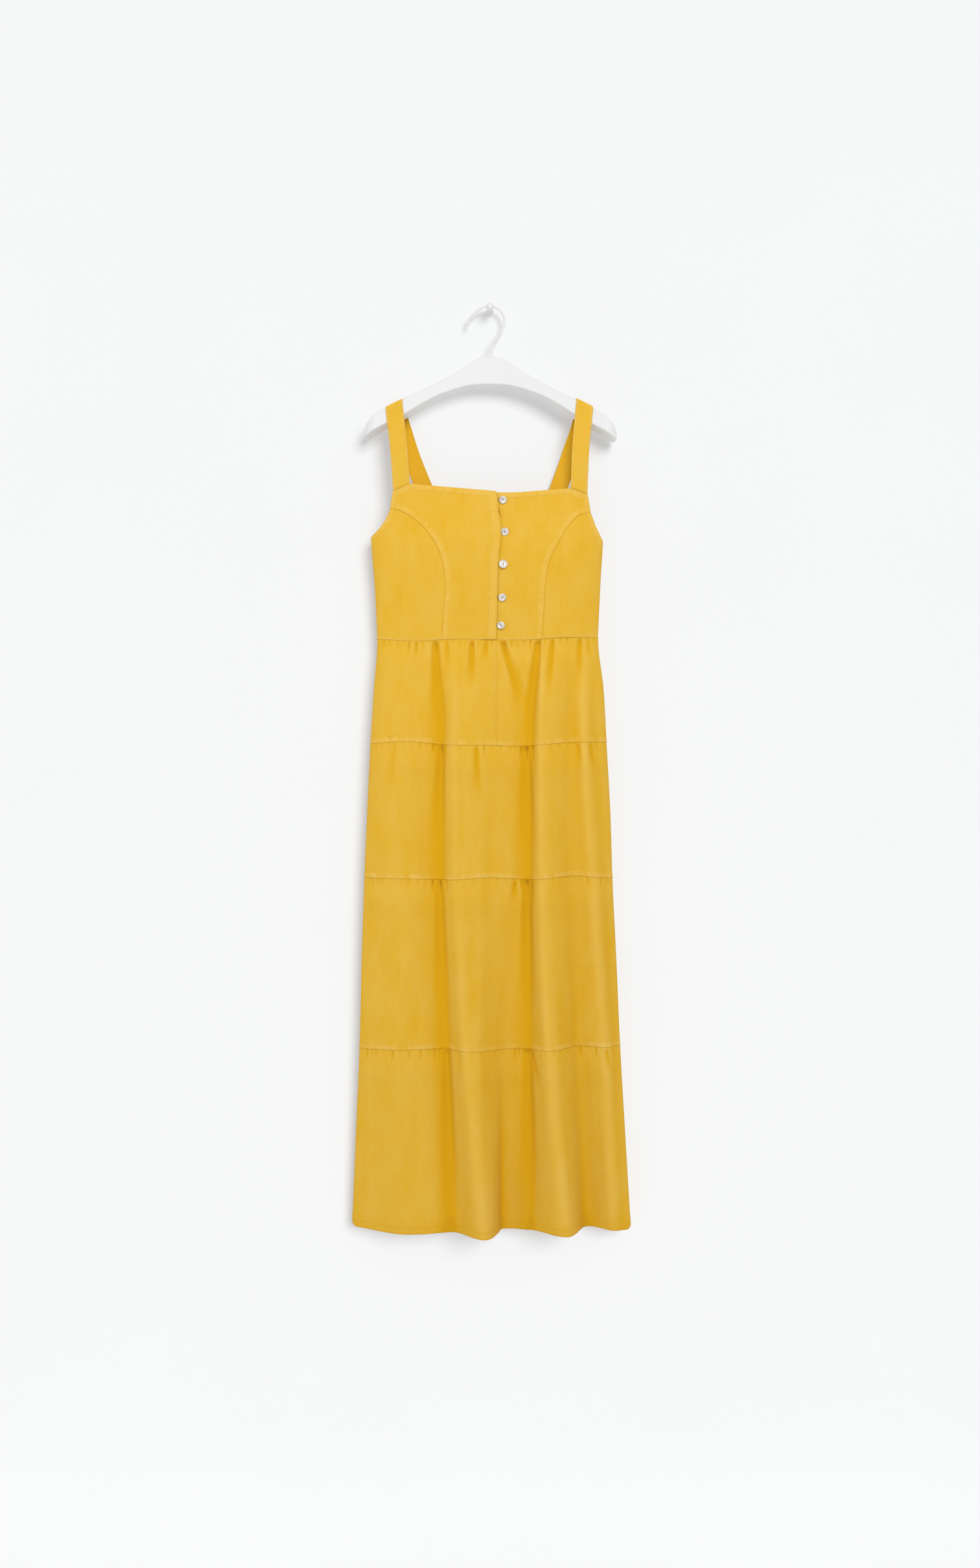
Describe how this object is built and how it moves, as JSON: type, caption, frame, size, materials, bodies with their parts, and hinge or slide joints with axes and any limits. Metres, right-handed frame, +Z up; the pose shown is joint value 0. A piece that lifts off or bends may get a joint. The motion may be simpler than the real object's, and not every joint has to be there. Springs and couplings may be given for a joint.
{
  "type": "tiered linen dress on a hanger and wall knob",
  "caption": "Sleeveless linen maxi dress with wide straps, a buttoned bodice and gathered skirt tiers, on a wide-shouldered hanger hooked over a small wall knob.",
  "frame": {"origin": "middle of the wall knob's flat back face, which lies on the wall", "axes": "+Z up along the height of the dress, +Y into the wall, so that the front of the dress faces -Y"},
  "size_m": [0.456, 0.0847, 1.5148],
  "materials": {
    "linen": "plain weave linen with fine slubs, matt",
    "pearl": "pearly, with a soft gloss",
    "hanger_white": "smooth satin white plastic",
    "hook_white": "white painted wire, satin",
    "knob_white": "white painted, satin"
  },
  "bodies": {
    "root": {"bodice_back": "linen", "bodice_centre_front_left": "linen", "bodice_centre_front_right": "linen", "bodice_side_front_left": "linen", "bodice_side_front_right": "linen", "button_1": "pearl", "button_2": "pearl", "button_3": "pearl", "button_4": "pearl", "button_5": "pearl", "hanger": "hanger_white", "hanger_hook": "hook_white", "skirt_tier_1_back": "linen", "skirt_tier_1_front_left": "linen", "skirt_tier_1_front_right": "linen", "skirt_tier_2_back": "linen", "skirt_tier_2_front": "linen", "skirt_tier_3_back": "linen", "skirt_tier_3_front": "linen", "skirt_tier_4_back": "linen", "skirt_tier_4_front": "linen", "strap_left": "linen", "strap_right": "linen", "wall_knob": "knob_white"}
  },
  "joints": []
}
